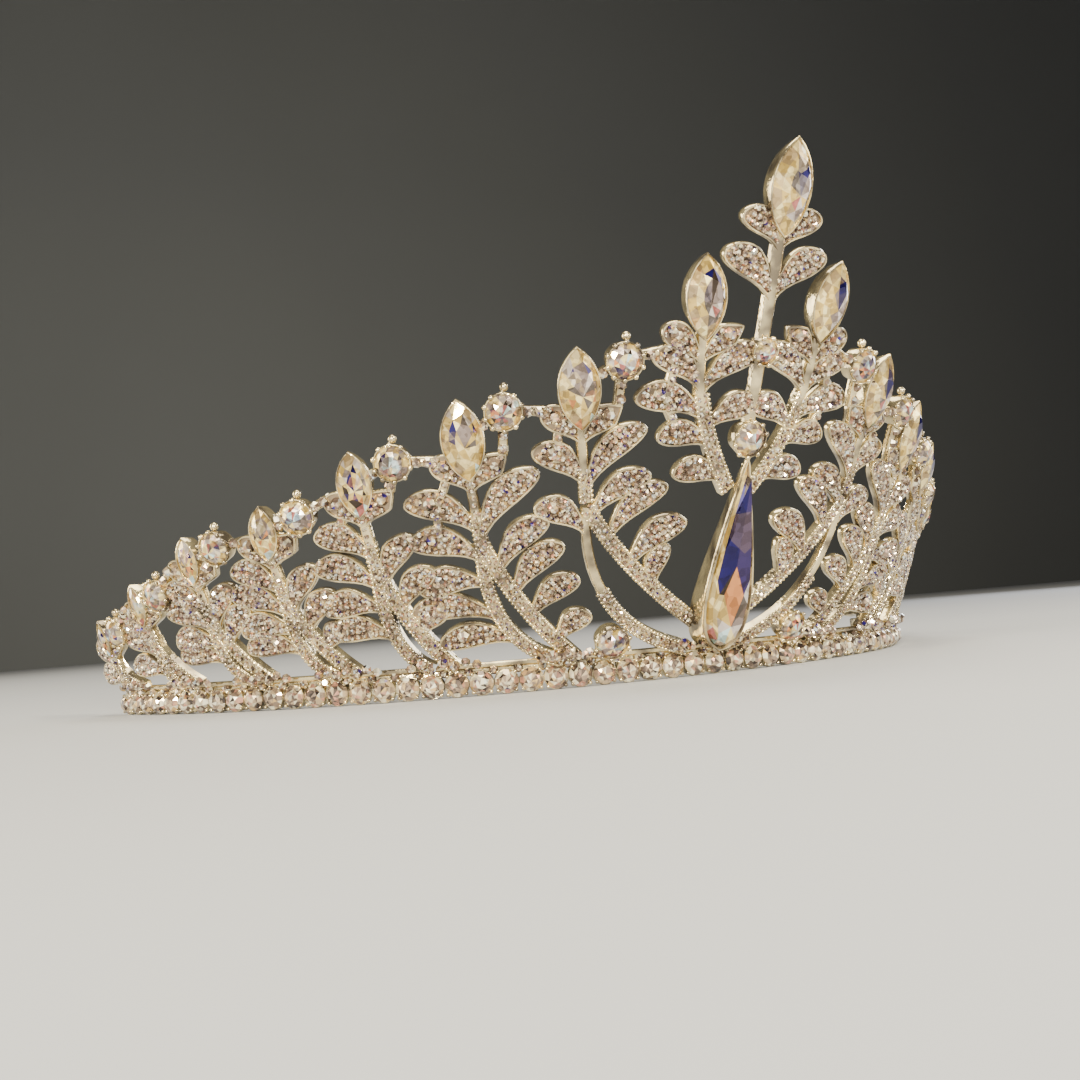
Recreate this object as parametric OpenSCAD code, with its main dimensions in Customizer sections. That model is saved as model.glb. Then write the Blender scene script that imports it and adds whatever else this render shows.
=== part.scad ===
// Pageant crown: an open arc of cast metal with clear stones.
// Front faces -Y, up is +Z, and the band stands on z = 0.
// The wall is laid out by s, the distance along the band from the centre,
// and by h, the height above the base, and each point is then bent to the arc.
// One half is drawn at positive s, and the other half is its mirror image.

/* [Crown] */
// Height of the centre peak above the base
peak_h = 79; // [66:1:92]
// Radius of the band's back face
band_r = 90; // [80:1:104]
// Round stones along each half of the band
band_count = 29; // [26:1:32]
// Spacing of the band's stones
band_pitch = 4; // [3.8:0.1:4.4]

/* [Flare] */
// Outward lean of the wall at the front, in degrees
front_lean = 30; // [18:1:34]
// Outward lean of the wall far round the sides, in degrees
side_lean = 16; // [12:1:26]
// Distance along the band over which the lean falls half way to the side's
lean_span = 50; // [40:1:80]
// How far the wall curls back in at the peak's height
curl = 6; // [2:0.5:9]

/* [Band] */
// Height of the band, from the floor to the top of its rail
band_h = 5.4; // [5:0.1:6.4]
// Thickness of the band
band_t = 2.4; // [2:0.1:3]
// Width of each stone in the band
band_stone_d = 3.3; // [2.8:0.1:3.5]
// Height of the notches between the band's cups
notch_h = 1.2; // [0.8:0.1:1.8]

/* [Plumes] */
// Distance along the band from the centre to the first plume's tip
first_plume = 9; // [8:0.5:11]
// Distance along the band between the first two plumes
plume_pitch = 14.2; // [13.4:0.1:14.8]
// Growth of that distance from each plume to the next
plume_growth = 0.3; // [0:0.05:0.4]
// Length that the leaves' shares are taken of
leaf_reach = 15; // [13:0.5:16]
// Thickness of the leaves
leaf_t = 1.5; // [1.2:0.1:2]
// Width of a full leaf
leaf_w = 4.7; // [3.8:0.1:5.2]
// Width of a stem
stem_w = 1.7; // [1.4:0.1:2.2]
// Thickness of a stem
stem_t = 1.9; // [1.5:0.1:2.4]
// Width of the small links between stones and leaves
link_w = 1.5; // [1:0.1:1.8]

/* [Stones] */
// Length of the largest marquise stones
marquise_l = 12; // [10:0.5:13]
// Width of the largest marquise stones
marquise_w = 5.7; // [4.8:0.1:6.4]
// Length of the marquise stone at the peak
peak_l = 13.4; // [11:0.2:14.6]
// Width of the marquise stone at the peak
peak_w = 6.2; // [5:0.1:7]
// Width of the round stones between the plumes
round_d = 5.6; // [4.6:0.1:6]
// Length of the pear stone
pear_l = 32; // [28:0.5:33]
// Width of the pear stone
pear_w = 8; // [7:0.1:9]
// Thickness of the metal wall round each stone
bezel_wall = 0.6; // [0.5:0.05:0.8]
// Depth of the settings
bezel_t = 3; // [2.6:0.1:3.6]
// Gap between a stone and its setting
stone_gap = 0.1; // [0.08:0.01:0.15]

/* [Hidden] */
// Columns of the plumes: height of the tip as a share of peak_h, how far the foot of
// the stone lies in from its tip, how far in the outer and the inner stem meet the band,
// all three as shares of plume_pitch, and the length of the stone as a share of marquise_l
TIP_UP = 0;
FOOT_IN = 1;
OUTER_IN = 2;
INNER_IN = 3;
STONE_SHARE = 4;
PLUMES = [
    [0.806, 0.07, 0, 0, 1],
    [0.658, 0.055, 1.39, 1.32, 1],
    [0.585, 0.055, 0.89, 1.07, 1],
    [0.512, 0, 0.5, 0.75, 0.82],
    [0.43, -0.04, 0.47, 0.7, 0.7],
    [0.388, -0.03, 0.44, 0.66, 0.62],
    [0.305, 0, 0.4, 0.61, 0.58],
    [0.235, 0, 0.36, 0.56, 0.54]
];
plume_count = len(PLUMES);
// Stems of a plume
MAIN = 0;
OUTER = 1;
INNER = 2;
// Columns of the leaves: the plume, the stem it grows on, the place on that stem from its
// top to its root, the reach outward and the rise as shares of plume_pitch, and the width
// as a share of leaf_w
LEAF_PLUME = 0;
LEAF_STEM = 1;
LEAF_AT = 2;
LEAF_OUT = 3;
LEAF_UP = 4;
LEAF_WIDE = 5;
LEAVES = [
    [1, MAIN, 0.3, 0.38, 0.34, 0.95],
    [1, MAIN, 0.5, 0.56, 0.24, 1],
    [1, MAIN, 0.68, 0.46, 0.12, 0.9],
    [1, MAIN, 0.93, 0.47, 0.12, 0.9],
    [1, MAIN, 0.32, -0.46, 0.4, 0.95],
    [1, MAIN, 0.56, -0.42, 0.24, 0.95],
    [2, MAIN, 0.68, 0.4, 0.36, 0.95],
    [2, OUTER, 0.1, 0.42, 0.3, 0.95],
    [2, MAIN, 0.75, -0.44, 0.56, 0.95],
    [2, INNER, 0.06, -0.46, 0.38, 0.9],
    [2, INNER, 0.24, -0.46, 0.5, 0.9],
    [2, INNER, 0.45, -0.46, 0.42, 1],
    [2, INNER, 0.66, -0.06, 0.42, 0.8],
    [3, MAIN, 0.8, 0.6, 0.36, 1],
    [3, OUTER, 0.08, 0.62, 0.25, 1],
    [3, OUTER, 0.22, 0.62, 0.02, 1],
    [3, OUTER, 0.46, 0.82, 0.16, 0.95],
    [3, OUTER, 0.68, 0.78, 0.06, 0.9],
    [3, MAIN, 0.92, -0.48, 0.62, 1],
    [3, INNER, 0.22, -0.42, 0.5, 0.95],
    [3, INNER, 0.4, -0.42, 0.48, 0.95],
    [3, INNER, 0.58, -0.42, 0.36, 0.9],
    [3, INNER, 0.82, -0.3, 0.28, 0.85]
];
// The leaves of the plumes further round, with the last plume that has each in the first column
SIDE_LEAVES = [
    [8, MAIN, 0.75, 0.5, 0.3, 1],
    [7, OUTER, 0.1, 0.58, 0.28, 1],
    [6, OUTER, 0.26, 0.6, 0.08, 1],
    [8, OUTER, 0.5, 0.66, 0.12, 0.95],
    [6, INNER, 0.14, -0.3, 0.48, 0.9],
    [6, INNER, 0.38, -0.32, 0.42, 0.9],
    [5, INNER, 0.62, -0.24, 0.27, 0.85]
];
first_side_plume = 4;
// Columns of the centre's leaves: the root's height as a share of peak_h, and the reach,
// rise and width as above
CENTRE_LEAVES = [
    [0.815, 0.3, 0.3, 0.85],
    [0.73, 0.4, 0.41, 1]
];
// The two small leaves under each marquise: place on the stem, reach, rise and width
small_at = 0.12;
small_out = 0.3;
small_up = 0.3;
small_wide = 0.85;
// How far a leaf's root runs into its stem, as a share of stem_w, where the leaf is widest and
// how far it arches there, as shares of its length, and the width of its blunt end as a share
// of its greatest width
leaf_sink = 0.3;
leaf_belly = 0.61;
leaf_arch = 0.08;
leaf_blunt = 0.45;
// Where a main stem forks, as a share of its length from the top
fork_share = 0.28;
// The middle control points of the two lower stems: heights above the root as shares of the
// fork's, and shifts, the outer one away from the centre as a share of plume_pitch and the
// inner one towards it as a share of the way to the root
outer_pull = 0.2;
outer_shift = 0.06;
inner_pull = 0.45;
inner_shift = 0.3;
// Sections along a stem, and how far it runs up into the setting that it carries, as a share
// of the setting's length
stem_steps = 4;
side_stem_steps = 3;
stem_into_setting = 0.12;
// Depth to which the stems run into the band
root_sink = 0.5;
// Height of the band's stones, half way up their cups
band_stone_h = band_pitch / 2 + 0.1;
// Half the width of the flat under each cup at its front, as a share of band_pitch
cup_flat = 0.24;
// Height of a stone above its setting, as a share of its width, and its table's size
crown_share = 0.22;
table_share = 0.55;
// Round stones: place between two plumes, the drop below the outer plume's tip, and the
// heights of the two at the centre as shares of peak_h
round_in = 0.4;
round_drop = 0.033;
crest_share = 0.478;
bud_share = 0.637;
bud_scale = 0.75;
// The round stones that stand on the band, between the first and second plumes: place, and
// height of the middle above the band as a share of round_d
band_round_in = 0.43;
band_round_up = 0.35;
// The pear: heights of its two ends as a share of peak_h and above the band, and how far
// each end stands out from the wall
pear_top_share = 0.437;
pear_top_out = 1.8;
pear_foot_out = 5.2;
pear_back = 0.8;
// Outline of a pear in shares of its width and length, from its foot to its tip
PEAR_HALF = [
    [0.3, 0.05], [0.45, 0.14], [0.5, 0.27], [0.45, 0.42], [0.34, 0.6], [0.18, 0.8]
];
// Depth of the pear's pocket, how deep its stone's girdle lies, where its table is centred as
// a share of its length, and the gap at its slim tip as a multiple of stone_gap
pear_pocket = 2;
pear_sunk = 0.3;
pear_middle = 0.4;
pear_tip_gap = 4.5;
round_sides = 8;
large_steps = 5;
small_steps = 4;
// Width of a setting's back as a share of its rim's
back_share = 0.84;
metal = [0.86, 0.83, 0.76];
crystal = [0.86, 0.9, 0.96];

// The wall's shape
function lean(s) =
    tan(side_lean) + (tan(front_lean) - tan(side_lean)) / (1 + pow(s / lean_span, 2));
function flare(s, h) = h * lean(s) - curl * pow(h / peak_h, 2);
function slope(s, h) = lean(s) - 2 * curl * h / pow(peak_h, 2);
function turn(s) = s / band_r * 180 / PI;
front_reach = band_r + flare(0, peak_h) + bezel_t / 2 / sqrt(1 + pow(slope(0, peak_h), 2));
// The last plume's leaves reach furthest back, with the corners of their blunt ends
corner_reach = 0.45;
back_reach = -corner_reach + min([for (row = SIDE_LEAVES)
    let (p = leaf_tip(row, plume_count))
    (band_r + flare(p[0], p[1])) * cos(turn(p[0]))]);
arc_y = (front_reach + back_reach) / 2;
function at(s, h, d = 0) =
    let (r = band_r + flare(s, h) + d)
    [r * sin(turn(s)), arc_y - r * cos(turn(s)), h];
function unit(v) = v / norm(v);
function facing(s, h) = unit([sin(turn(s)), -cos(turn(s)), -slope(s, h)]);

// A frame whose y axis runs from point a to point b and whose z axis faces outward
function frame_between(a, b, outward) =
    let (y = unit(b - a))
    let (z = unit(outward - (outward * y) * y))
    let (x = cross(y, z))
    [
        [x[0], y[0], z[0], a[0]],
        [x[1], y[1], z[1], a[1]],
        [x[2], y[2], z[2], a[2]],
        [0, 0, 0, 1]
    ];
function mid(a, b) = (a + b) / 2;
function bend(a, b, c, t) = a * pow(1 - t, 2) + b * 2 * t * (1 - t) + c * pow(t, 2);

// Places on the wall, as [s, h]
function plume(k) = PLUMES[k - 1];
function stone_share(k) = plume(k)[STONE_SHARE];
function plume_s(k) = first_plume + (k - 1) * (plume_pitch + (k - 2) * plume_growth / 2);
function tip(k) = [plume_s(k), plume(k)[TIP_UP] * peak_h];
function rise(length, s, h) = length / sqrt(1 + pow(slope(s, h), 2));
function setting_l(k) = marquise_l * stone_share(k) + 2 * bezel_wall;
function foot(k) =
    let (p = tip(k))
    [p[0] - plume(k)[FOOT_IN] * plume_pitch, p[1] - rise(setting_l(k), p[0], p[1])];
function fork(k) = [foot(k)[0] - 0.06 * plume_pitch, foot(k)[1] * (1 - fork_share)];
function root(k, stem) =
    k == 1 ? [pear_w * 0.2, pear_top_h - 0.14 * pear_l]
    : k == 2 && stem == INNER ? [pear_w * 0.42, band_h + 0.13 * pear_l]
    : [tip(k)[0] - plume(k)[stem == OUTER ? OUTER_IN : INNER_IN] * plume_pitch, band_h - root_sink];
function stem_point(k, stem, t) =
    let (a = foot(k))
    let (f = fork(k))
    let (r = root(k, stem))
    stem == MAIN && k == 1 ? bend(a, [a[0] + 0.04 * plume_pitch, mid(a, r)[1]], r, t)
    : stem == MAIN ? a + (f - a) * t
    : stem == OUTER
        ? bend(f, [f[0] + outer_shift * plume_pitch, r[1] + (f[1] - r[1]) * outer_pull], r, t)
    : bend(f, [f[0] - (f[0] - r[0]) * inner_shift, r[1] + (f[1] - r[1]) * inner_pull], r, t);
function leaf_root(row, k) = stem_point(k, row[LEAF_STEM], row[LEAF_AT]);
function leaf_tip(row, k) = leaf_root(row, k) + [row[LEAF_OUT], row[LEAF_UP]] * leaf_reach;
function small_tip(k, way) =
    stem_point(k, MAIN, small_at) + [way * small_out, small_up] * leaf_reach;
pear_top_h = pear_top_share * peak_h;
crest = [0, crest_share * peak_h];
bud = [0, bud_share * peak_h];
function round_place(k) =
    [tip(k + 1)[0] - round_in * plume_pitch, tip(k + 1)[1] - round_drop * peak_h];
band_round = [tip(2)[0] - band_round_in * plume_pitch, band_h + round_d * band_round_up];
peak_tip = [0, peak_h];
peak_foot = [0, peak_h - rise(peak_l + 2 * bezel_wall, 0, peak_h)];

// Outlines
function lens_half(width, length, v) =
    let (r = (pow(length, 2) + pow(width, 2)) / (4 * width))
    sqrt(max(0, pow(r, 2) - pow(v * length / 2, 2))) - (r - width / 2);
function lens(width, length, steps = large_steps) = [
    for (i = [0:2 * steps - 1])
        let (v = i < steps ? 2 * i / steps - 1 : 3 - 2 * i / steps)
        [(i < steps ? 1 : -1) * lens_half(width, length, v), v * length / 2]
];
function ring(d) =
    [for (i = [0:round_sides - 1]) let (a = (i + 0.5) * 360 / round_sides) [cos(a), sin(a)] * d / 2 / cos(180 / round_sides)];
function pear(width, length) = concat(
    [[0, 0]],
    [for (p = PEAR_HALF) [p[0] * width, p[1] * length]],
    [[0, length]],
    [for (i = [len(PEAR_HALF) - 1:-1:0]) [-PEAR_HALF[i][0] * width, PEAR_HALF[i][1] * length]]
);

// A flat plate of one outline
module plate(points, low, high) {
    translate([0, 0, low])
        linear_extrude(high - low)
            polygon(points);
}

// A cut stone: its girdle in the plane z = 0, a smaller table above, and below either a
// flat back or a point at the given depth
module cut_stone(points, width, depth) {
    table = [for (p = points) [p[0] * table_share, p[1] * table_share, width * crown_share]];
    girdle = [for (p = points) [p[0], p[1], 0]];
    corners = concat(girdle, table, depth > 0 ? [[0, 0, -depth]] : []);
    hull()
        polyhedron(corners, [[for (i = [0:len(corners) - 1]) i]]);
}

// A tapered setting with a pocket for its stone
module setting(points, low, high) {
    back = [for (p = points) [p[0] * back_share, p[1] * back_share, low]];
    rim = [for (p = points) [p[0], p[1], high]];
    corners = concat(back, rim);
    hull()
        polyhedron(corners, [[for (i = [0:len(corners) - 1]) i]]);
}

// Where the stones sit in their settings
girdle_z = bezel_t / 2 - 0.2;
pocket_z = 0.6 - bezel_t / 2;
culet_depth = girdle_z - pocket_z - 2 * stone_gap;

module at_marquise(a, b) {
    p = at(a[0], a[1]);
    q = at(b[0], b[1]);
    centre = mid(a, b);
    multmatrix(frame_between(mid(p, q), q, facing(centre[0], centre[1])))
        children();
}

module at_round(place, d = 0) {
    p = at(place[0], place[1], d);
    q = at(place[0], place[1] + 1, d);
    multmatrix(frame_between(p, q, facing(place[0], place[1])))
        children();
}

module at_pear() {
    p = at(0, band_h - 0.8, pear_foot_out);
    q = at(0, pear_top_h, pear_top_out);
    multmatrix(frame_between(p, q, [0, -1, 0]))
        children();
}

function marquise_points(k, more) =
    lens(
        marquise_w * stone_share(k) + 2 * more,
        marquise_l * stone_share(k) + 2 * more,
        k < first_side_plume ? large_steps : small_steps
    );

// The band: a rail with notches between the cups, one cup to each stone
half_step = turn(band_pitch) / 2;
cup_out = (band_r + band_t) * cos(half_step);
function on_arc(r, a, x, h) = [r * sin(a) + x * cos(a), arc_y - r * cos(a) + x * sin(a), h];
function joint_points(i) =
    let (a = turn((i - band_count) * band_pitch))
    [
        on_arc(band_r, a, 0, 0), on_arc(band_r, a, 0, band_h),
        on_arc(band_r + band_t, a, 0, notch_h), on_arc(band_r + band_t, a, 0, band_h)
    ];
function flat_points(i) =
    let (a = turn((i - band_count + 0.5) * band_pitch))
    [for (way = [-1, 1]) on_arc(cup_out, a, way * cup_flat * band_pitch, 0)];
band_points = concat(
    [for (i = [0:2 * band_count - 1]) each concat(joint_points(i), flat_points(i))],
    joint_points(2 * band_count)
);
points_a_cup = 6;
// Points of a cup: 0 and 1 are the joint's inner foot and top, 2 and 3 its notch and outer
// top, 4 and 5 the flat's outer corners, and 6 to 9 the next joint's four
function cup_faces(o) = [
    [o + 2, o + 3, o + 9, o + 8, o + 5, o + 4],
    [o, o + 6, o + 7, o + 1],
    [o + 1, o + 7, o + 9, o + 3],
    [o, o + 2, o + 4],
    [o, o + 4, o + 5, o + 6],
    [o + 6, o + 5, o + 8]
];
module band() {
    last = 2 * band_count * points_a_cup;
    polyhedron(
        band_points,
        concat(
            [[0, 1, 3, 2]],
            [for (i = [0:2 * band_count - 1]) each cup_faces(points_a_cup * i)],
            [[last, last + 2, last + 3, last + 1]]
        )
    );
}

// A stem or link along a list of places [s, h]
module stem(places, width, thickness) {
    n = len(places);
    points = [for (j = [0:n - 1])
        let (p = at(places[j][0], places[j][1]))
        let (before = places[max(0, j - 1)])
        let (after = places[min(n - 1, j + 1)])
        let (along = unit(at(after[0], after[1]) - at(before[0], before[1])))
        let (up = facing(places[j][0], places[j][1]))
        let (z = unit(up - (up * along) * along))
        let (x = cross(z, along))
        for (corner = [[-1, -1], [1, -1], [1, 1], [-1, 1]])
            p + x * corner[0] * width / 2 + z * corner[1] * thickness / 2];
    sides = [for (j = [0:n - 2]) for (i = [0:3])
        let (p = 4 * j + i)
        let (q = 4 * j + (i + 1) % 4)
        each [[p, p + 4, q + 4], [p, q + 4, q]]];
    end = 4 * (n - 1);
    polyhedron(points, concat([[0, 1, 2, 3]], sides, [[end + 3, end + 2, end + 1, end]]));
}

// A leaf from its root to its tip
module leaf(a, b, wide) {
    p = at(a[0], a[1]);
    q = at(b[0], b[1]);
    centre = mid(a, b);
    length = norm(q - p);
    half = leaf_w * wide / 2;
    // A leaf arches upwards, which is to its left where it points away from the centre
    arch = leaf_arch * length * (b[0] > a[0] ? -1 : 1);
    multmatrix(frame_between(p, q, facing(centre[0], centre[1])))
        plate(
            [
                [0, -stem_w * leaf_sink], [arch + half, length * leaf_belly],
                [half * leaf_blunt, length], [-half * leaf_blunt, length],
                [arch - half, length * leaf_belly]
            ],
            -leaf_t / 2,
            leaf_t / 2
        );
}

module plume_metal(k) {
    rows = k < first_side_plume ? LEAVES : SIDE_LEAVES;
    steps = k < first_side_plume ? stem_steps : side_stem_steps;
    top = foot(k) + (tip(k) - foot(k)) * stem_into_setting;
    which = k == 1 ? MAIN : OUTER;
    first = k == 1 ? 1 : 0;
    stem(concat([top], [for (i = [first:steps]) stem_point(k, which, i / steps)]), stem_w, stem_t);
    if (k > 1)
        stem([for (i = [0:steps]) stem_point(k, INNER, i / steps)], stem_w, stem_t);
    for (way = [-1, 1])
        leaf(stem_point(k, MAIN, small_at), small_tip(k, way), small_wide);
    for (row = rows)
        if (k < first_side_plume ? row[LEAF_PLUME] == k : row[LEAF_PLUME] >= k)
            leaf(leaf_root(row, k), leaf_tip(row, k), row[LEAF_WIDE]);
    at_marquise(foot(k), tip(k))
        setting(marquise_points(k, bezel_wall), -bezel_t / 2, bezel_t / 2);
}

module round_setting(place, scale_by = 1) {
    at_round(place)
        setting(ring(round_d * scale_by + 2 * bezel_wall), -bezel_t / 2, bezel_t / 2);
}

module links(k) {
    place = round_place(k);
    ends = [k == 1 ? leaf_tip(LEAVES[0], 1) : small_tip(k, 1), mid(foot(k + 1), tip(k + 1))];
    // A link starts in the setting's wall, and the flare widens each step along the band
    start = (round_d / 2 + stone_gap) / (1 + flare(place[0], place[1]) / band_r);
    for (end = ends)
        stem([place + unit(end - place) * start, end], link_w, leaf_t);
}

module half_metal() {
    for (k = [1:plume_count])
        plume_metal(k);
    for (k = [1:plume_count - 1]) {
        round_setting(round_place(k));
        links(k);
    }
    round_setting(band_round);
    for (row = CENTRE_LEAVES)
        leaf([0, row[0] * peak_h], [row[1] * leaf_reach, row[0] * peak_h + row[2] * leaf_reach], row[3]);
}

module centre_metal() {
    stem([peak_foot + [0, 1], bud, crest], stem_w, stem_t);
    round_setting(crest);
    round_setting(bud, bud_scale);
    at_marquise(peak_foot, peak_tip)
        setting(lens(peak_w + 2 * bezel_wall, peak_l + 2 * bezel_wall), -bezel_t / 2, bezel_t / 2);
    pear_setting();
}

pear_out = pear(pear_w + 2 * bezel_wall, pear_l + 2 * bezel_wall);
module pear_setting() {
    p = at(0, band_h - 0.8, -pear_back);
    q = at(0, pear_top_h, -pear_back);
    hull() {
        at_pear()
            translate([0, -bezel_wall, 0])
                plate(pear_out, -1.2, 0);
        multmatrix(frame_between(p, q, [0, -1, 0]))
            translate([0, 1, 0])
                plate(pear_out * 0.88, 0, 0.5);
    }
}

// Everything that is cut out for the stones
module half_pockets() {
    for (k = [1:plume_count])
        at_marquise(foot(k), tip(k))
            plate(marquise_points(k, 0), pocket_z, bezel_t);
    for (k = [1:plume_count - 1])
        round_pocket(round_place(k));
    round_pocket(band_round);
}
module round_pocket(place, scale_by = 1) {
    at_round(place)
        plate(ring(round_d * scale_by), pocket_z, bezel_t);
}
module centre_pockets() {
    round_pocket(crest);
    round_pocket(bud, bud_scale);
    at_marquise(peak_foot, peak_tip)
        plate(lens(peak_w, peak_l), pocket_z, bezel_t);
    at_pear()
        plate(pear(pear_w, pear_l), -pear_pocket, pear_w * crown_share);
}

module frame() {
    color(metal)
        difference() {
            union() {
                band();
                centre_metal();
                half_metal();
                mirror([1, 0, 0])
                    half_metal();
            }
            centre_pockets();
            half_pockets();
            mirror([1, 0, 0])
                half_pockets();
        }
}

// The stones
pear_stone_points =
    [for (p = pear(pear_w - 2 * stone_gap, pear_l - (1 + pear_tip_gap) * stone_gap)) [p[0], p[1] + stone_gap]];
function shrunk(points, width) = points * (1 - 2 * stone_gap / width);

module marquise(k) {
    w = marquise_w * stone_share(k);
    color(crystal)
        at_marquise(foot(k), tip(k))
            translate([0, 0, girdle_z])
                cut_stone(shrunk(marquise_points(k, 0), w), w, culet_depth);
}

module round_stone(place, scale_by = 1) {
    d = round_d * scale_by;
    color(crystal)
        at_round(place)
            translate([0, 0, girdle_z])
                cut_stone(ring(d - 2 * stone_gap), d, culet_depth);
}

module peak_stone() {
    color(crystal)
        at_marquise(peak_foot, peak_tip)
            translate([0, 0, girdle_z])
                cut_stone(shrunk(lens(peak_w, peak_l), peak_w), peak_w, culet_depth);
}

module pear_stone() {
    color(crystal)
        at_pear()
            translate([0, pear_l * pear_middle, -pear_sunk])
                cut_stone(
                    [for (p = pear_stone_points) [p[0], p[1] - pear_l * pear_middle]],
                    pear_w,
                    pear_pocket - pear_sunk - stone_gap
                );
}

band_front = band_r + band_t + stone_gap;
module band_stones() {
    color(crystal)
        for (i = [0:band_count - 1]) {
            a = turn((i + 0.5) * band_pitch);
            translate([band_front * sin(a), arc_y - band_front * cos(a), band_stone_h])
                rotate([90, 0, a])
                    cut_stone(ring(band_stone_d), band_stone_d, 0);
        }
}

SIDES = ["l", "r"];

module on_side(side) {
    if (side == "l")
        mirror([1, 0, 0])
            children();
    else
        children();
}

frame();
peak_stone();
pear_stone();
round_stone(crest);  // crest_stone
round_stone(bud, bud_scale);  // bud_stone
for (side = SIDES) {
    for (k = [1:plume_count])
        on_side(side) marquise(k);
    for (k = [1:plume_count - 1])
        on_side(side) round_stone(round_place(k));
    on_side(side) round_stone(band_round);
    on_side(side) band_stones();
}
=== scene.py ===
"""Looks of a pageant crown: smooth cast metal, paved leaves and cut stones."""

import math
import random
from collections import namedtuple

import bpy
from mathutils import Matrix, Vector


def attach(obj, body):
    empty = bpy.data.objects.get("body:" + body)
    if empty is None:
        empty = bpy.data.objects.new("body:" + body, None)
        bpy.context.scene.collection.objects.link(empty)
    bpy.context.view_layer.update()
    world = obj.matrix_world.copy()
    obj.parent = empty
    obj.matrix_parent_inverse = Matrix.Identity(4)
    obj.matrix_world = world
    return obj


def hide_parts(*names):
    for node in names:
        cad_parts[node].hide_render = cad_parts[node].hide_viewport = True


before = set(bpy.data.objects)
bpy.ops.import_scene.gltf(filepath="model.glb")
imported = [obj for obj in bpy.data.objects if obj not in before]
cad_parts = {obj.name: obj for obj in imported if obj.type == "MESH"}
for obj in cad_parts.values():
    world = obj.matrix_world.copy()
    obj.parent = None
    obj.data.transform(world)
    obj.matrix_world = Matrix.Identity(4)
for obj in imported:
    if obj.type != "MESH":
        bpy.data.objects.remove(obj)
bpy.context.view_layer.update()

# Sizes in millimetres, as in the part's source
MM = 0.001
PEAK_H = 79
BAND_R = 90
BAND_COUNT = 29
BAND_PITCH = 4
FRONT_LEAN = math.tan(math.radians(30))
SIDE_LEAN = math.tan(math.radians(16))
LEAN_SPAN = 50
CURL = 6
BAND_H = 5.4
BAND_T = 2.4
BAND_STONE_D = 3.95
FIRST_PLUME = 9
PLUME_PITCH = 14.2
PLUME_GROWTH = 0.3
LEAF_REACH = 15
LEAF_T = 1.5
LEAF_W = 5.1
MARQUISE_L = 12
MARQUISE_W = 5.7
PEAK_L = 13.4
PEAK_W = 6.2
ROUND_D = 5.6
PEAR_L = 32
PEAR_W = 8
WALL = 0.6
SETTING_T = 3
STONE_GAP = 0.1
ARC_Y = 74.6

# Plumes, from the centre: height of the tip as a share of the peak's, how far the stone's foot
# lies in, where the outer and the inner stem meet the band, and the stone's share of full size
Plume = namedtuple("Plume", "height foot_in outer_in inner_in stone")
PLUMES = [Plume(*row) for row in [
    (0.806, 0.07, 0, 0, 1),
    (0.658, 0.055, 1.39, 1.32, 1),
    (0.585, 0.055, 0.89, 1.07, 1),
    (0.512, 0, 0.5, 0.75, 0.82),
    (0.43, -0.04, 0.47, 0.7, 0.7),
    (0.388, -0.03, 0.44, 0.66, 0.62),
    (0.305, 0, 0.4, 0.61, 0.58),
    (0.235, 0, 0.36, 0.56, 0.54),
]]
PLUME_COUNT = len(PLUMES)
FIRST_SIDE_PLUME = 4
MAIN, OUTER, INNER = 0, 1, 2

# Leaves: plume, stem, place on it, reach outward, rise, and share of the full width
Leaf = namedtuple("Leaf", "plume stem place out up wide")
LEAVES = [Leaf(*row) for row in [
    (1, MAIN, 0.3, 0.38, 0.34, 0.95),
    (1, MAIN, 0.5, 0.56, 0.24, 1),
    (1, MAIN, 0.68, 0.46, 0.12, 0.9),
    (1, MAIN, 0.93, 0.47, 0.12, 0.9),
    (1, MAIN, 0.32, -0.46, 0.4, 0.95),
    (1, MAIN, 0.56, -0.42, 0.24, 0.95),
    (2, MAIN, 0.68, 0.4, 0.36, 0.95),
    (2, OUTER, 0.1, 0.42, 0.3, 0.95),
    (2, MAIN, 0.75, -0.44, 0.56, 0.95),
    (2, INNER, 0.06, -0.46, 0.38, 0.9),
    (2, INNER, 0.24, -0.46, 0.5, 0.9),
    (2, INNER, 0.45, -0.46, 0.42, 1),
    (2, INNER, 0.66, -0.06, 0.42, 0.8),
    (3, MAIN, 0.8, 0.6, 0.36, 1),
    (3, OUTER, 0.08, 0.62, 0.25, 1),
    (3, OUTER, 0.22, 0.62, 0.02, 1),
    (3, OUTER, 0.46, 0.82, 0.16, 0.95),
    (3, OUTER, 0.68, 0.78, 0.06, 0.9),
    (3, MAIN, 0.92, -0.48, 0.62, 1),
    (3, INNER, 0.22, -0.42, 0.5, 0.95),
    (3, INNER, 0.4, -0.42, 0.48, 0.95),
    (3, INNER, 0.58, -0.42, 0.36, 0.9),
    (3, INNER, 0.82, -0.3, 0.28, 0.85),
]]
# Side plumes share these leaves, and the first value is the last plume that has the leaf
SIDE_LEAVES = [Leaf(*row) for row in [
    (8, MAIN, 0.75, 0.5, 0.3, 1),
    (7, OUTER, 0.1, 0.58, 0.28, 1),
    (6, OUTER, 0.26, 0.6, 0.08, 1),
    (8, OUTER, 0.5, 0.66, 0.12, 0.95),
    (6, INNER, 0.14, -0.3, 0.48, 0.9),
    (6, INNER, 0.38, -0.32, 0.42, 0.9),
    (5, INNER, 0.62, -0.24, 0.27, 0.85),
]]
# Leaves of the centre stem: height as a share of the peak's, reach, rise and width
CENTRE_LEAVES = [(0.815, 0.3, 0.3, 0.85), (0.73, 0.4, 0.41, 1)]
# The two small leaves under each plume's stone: place on the stem, reach, rise and width
SMALL_AT, SMALL_OUT, SMALL_UP, SMALL_WIDE = 0.12, 0.3, 0.3, 0.85
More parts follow.
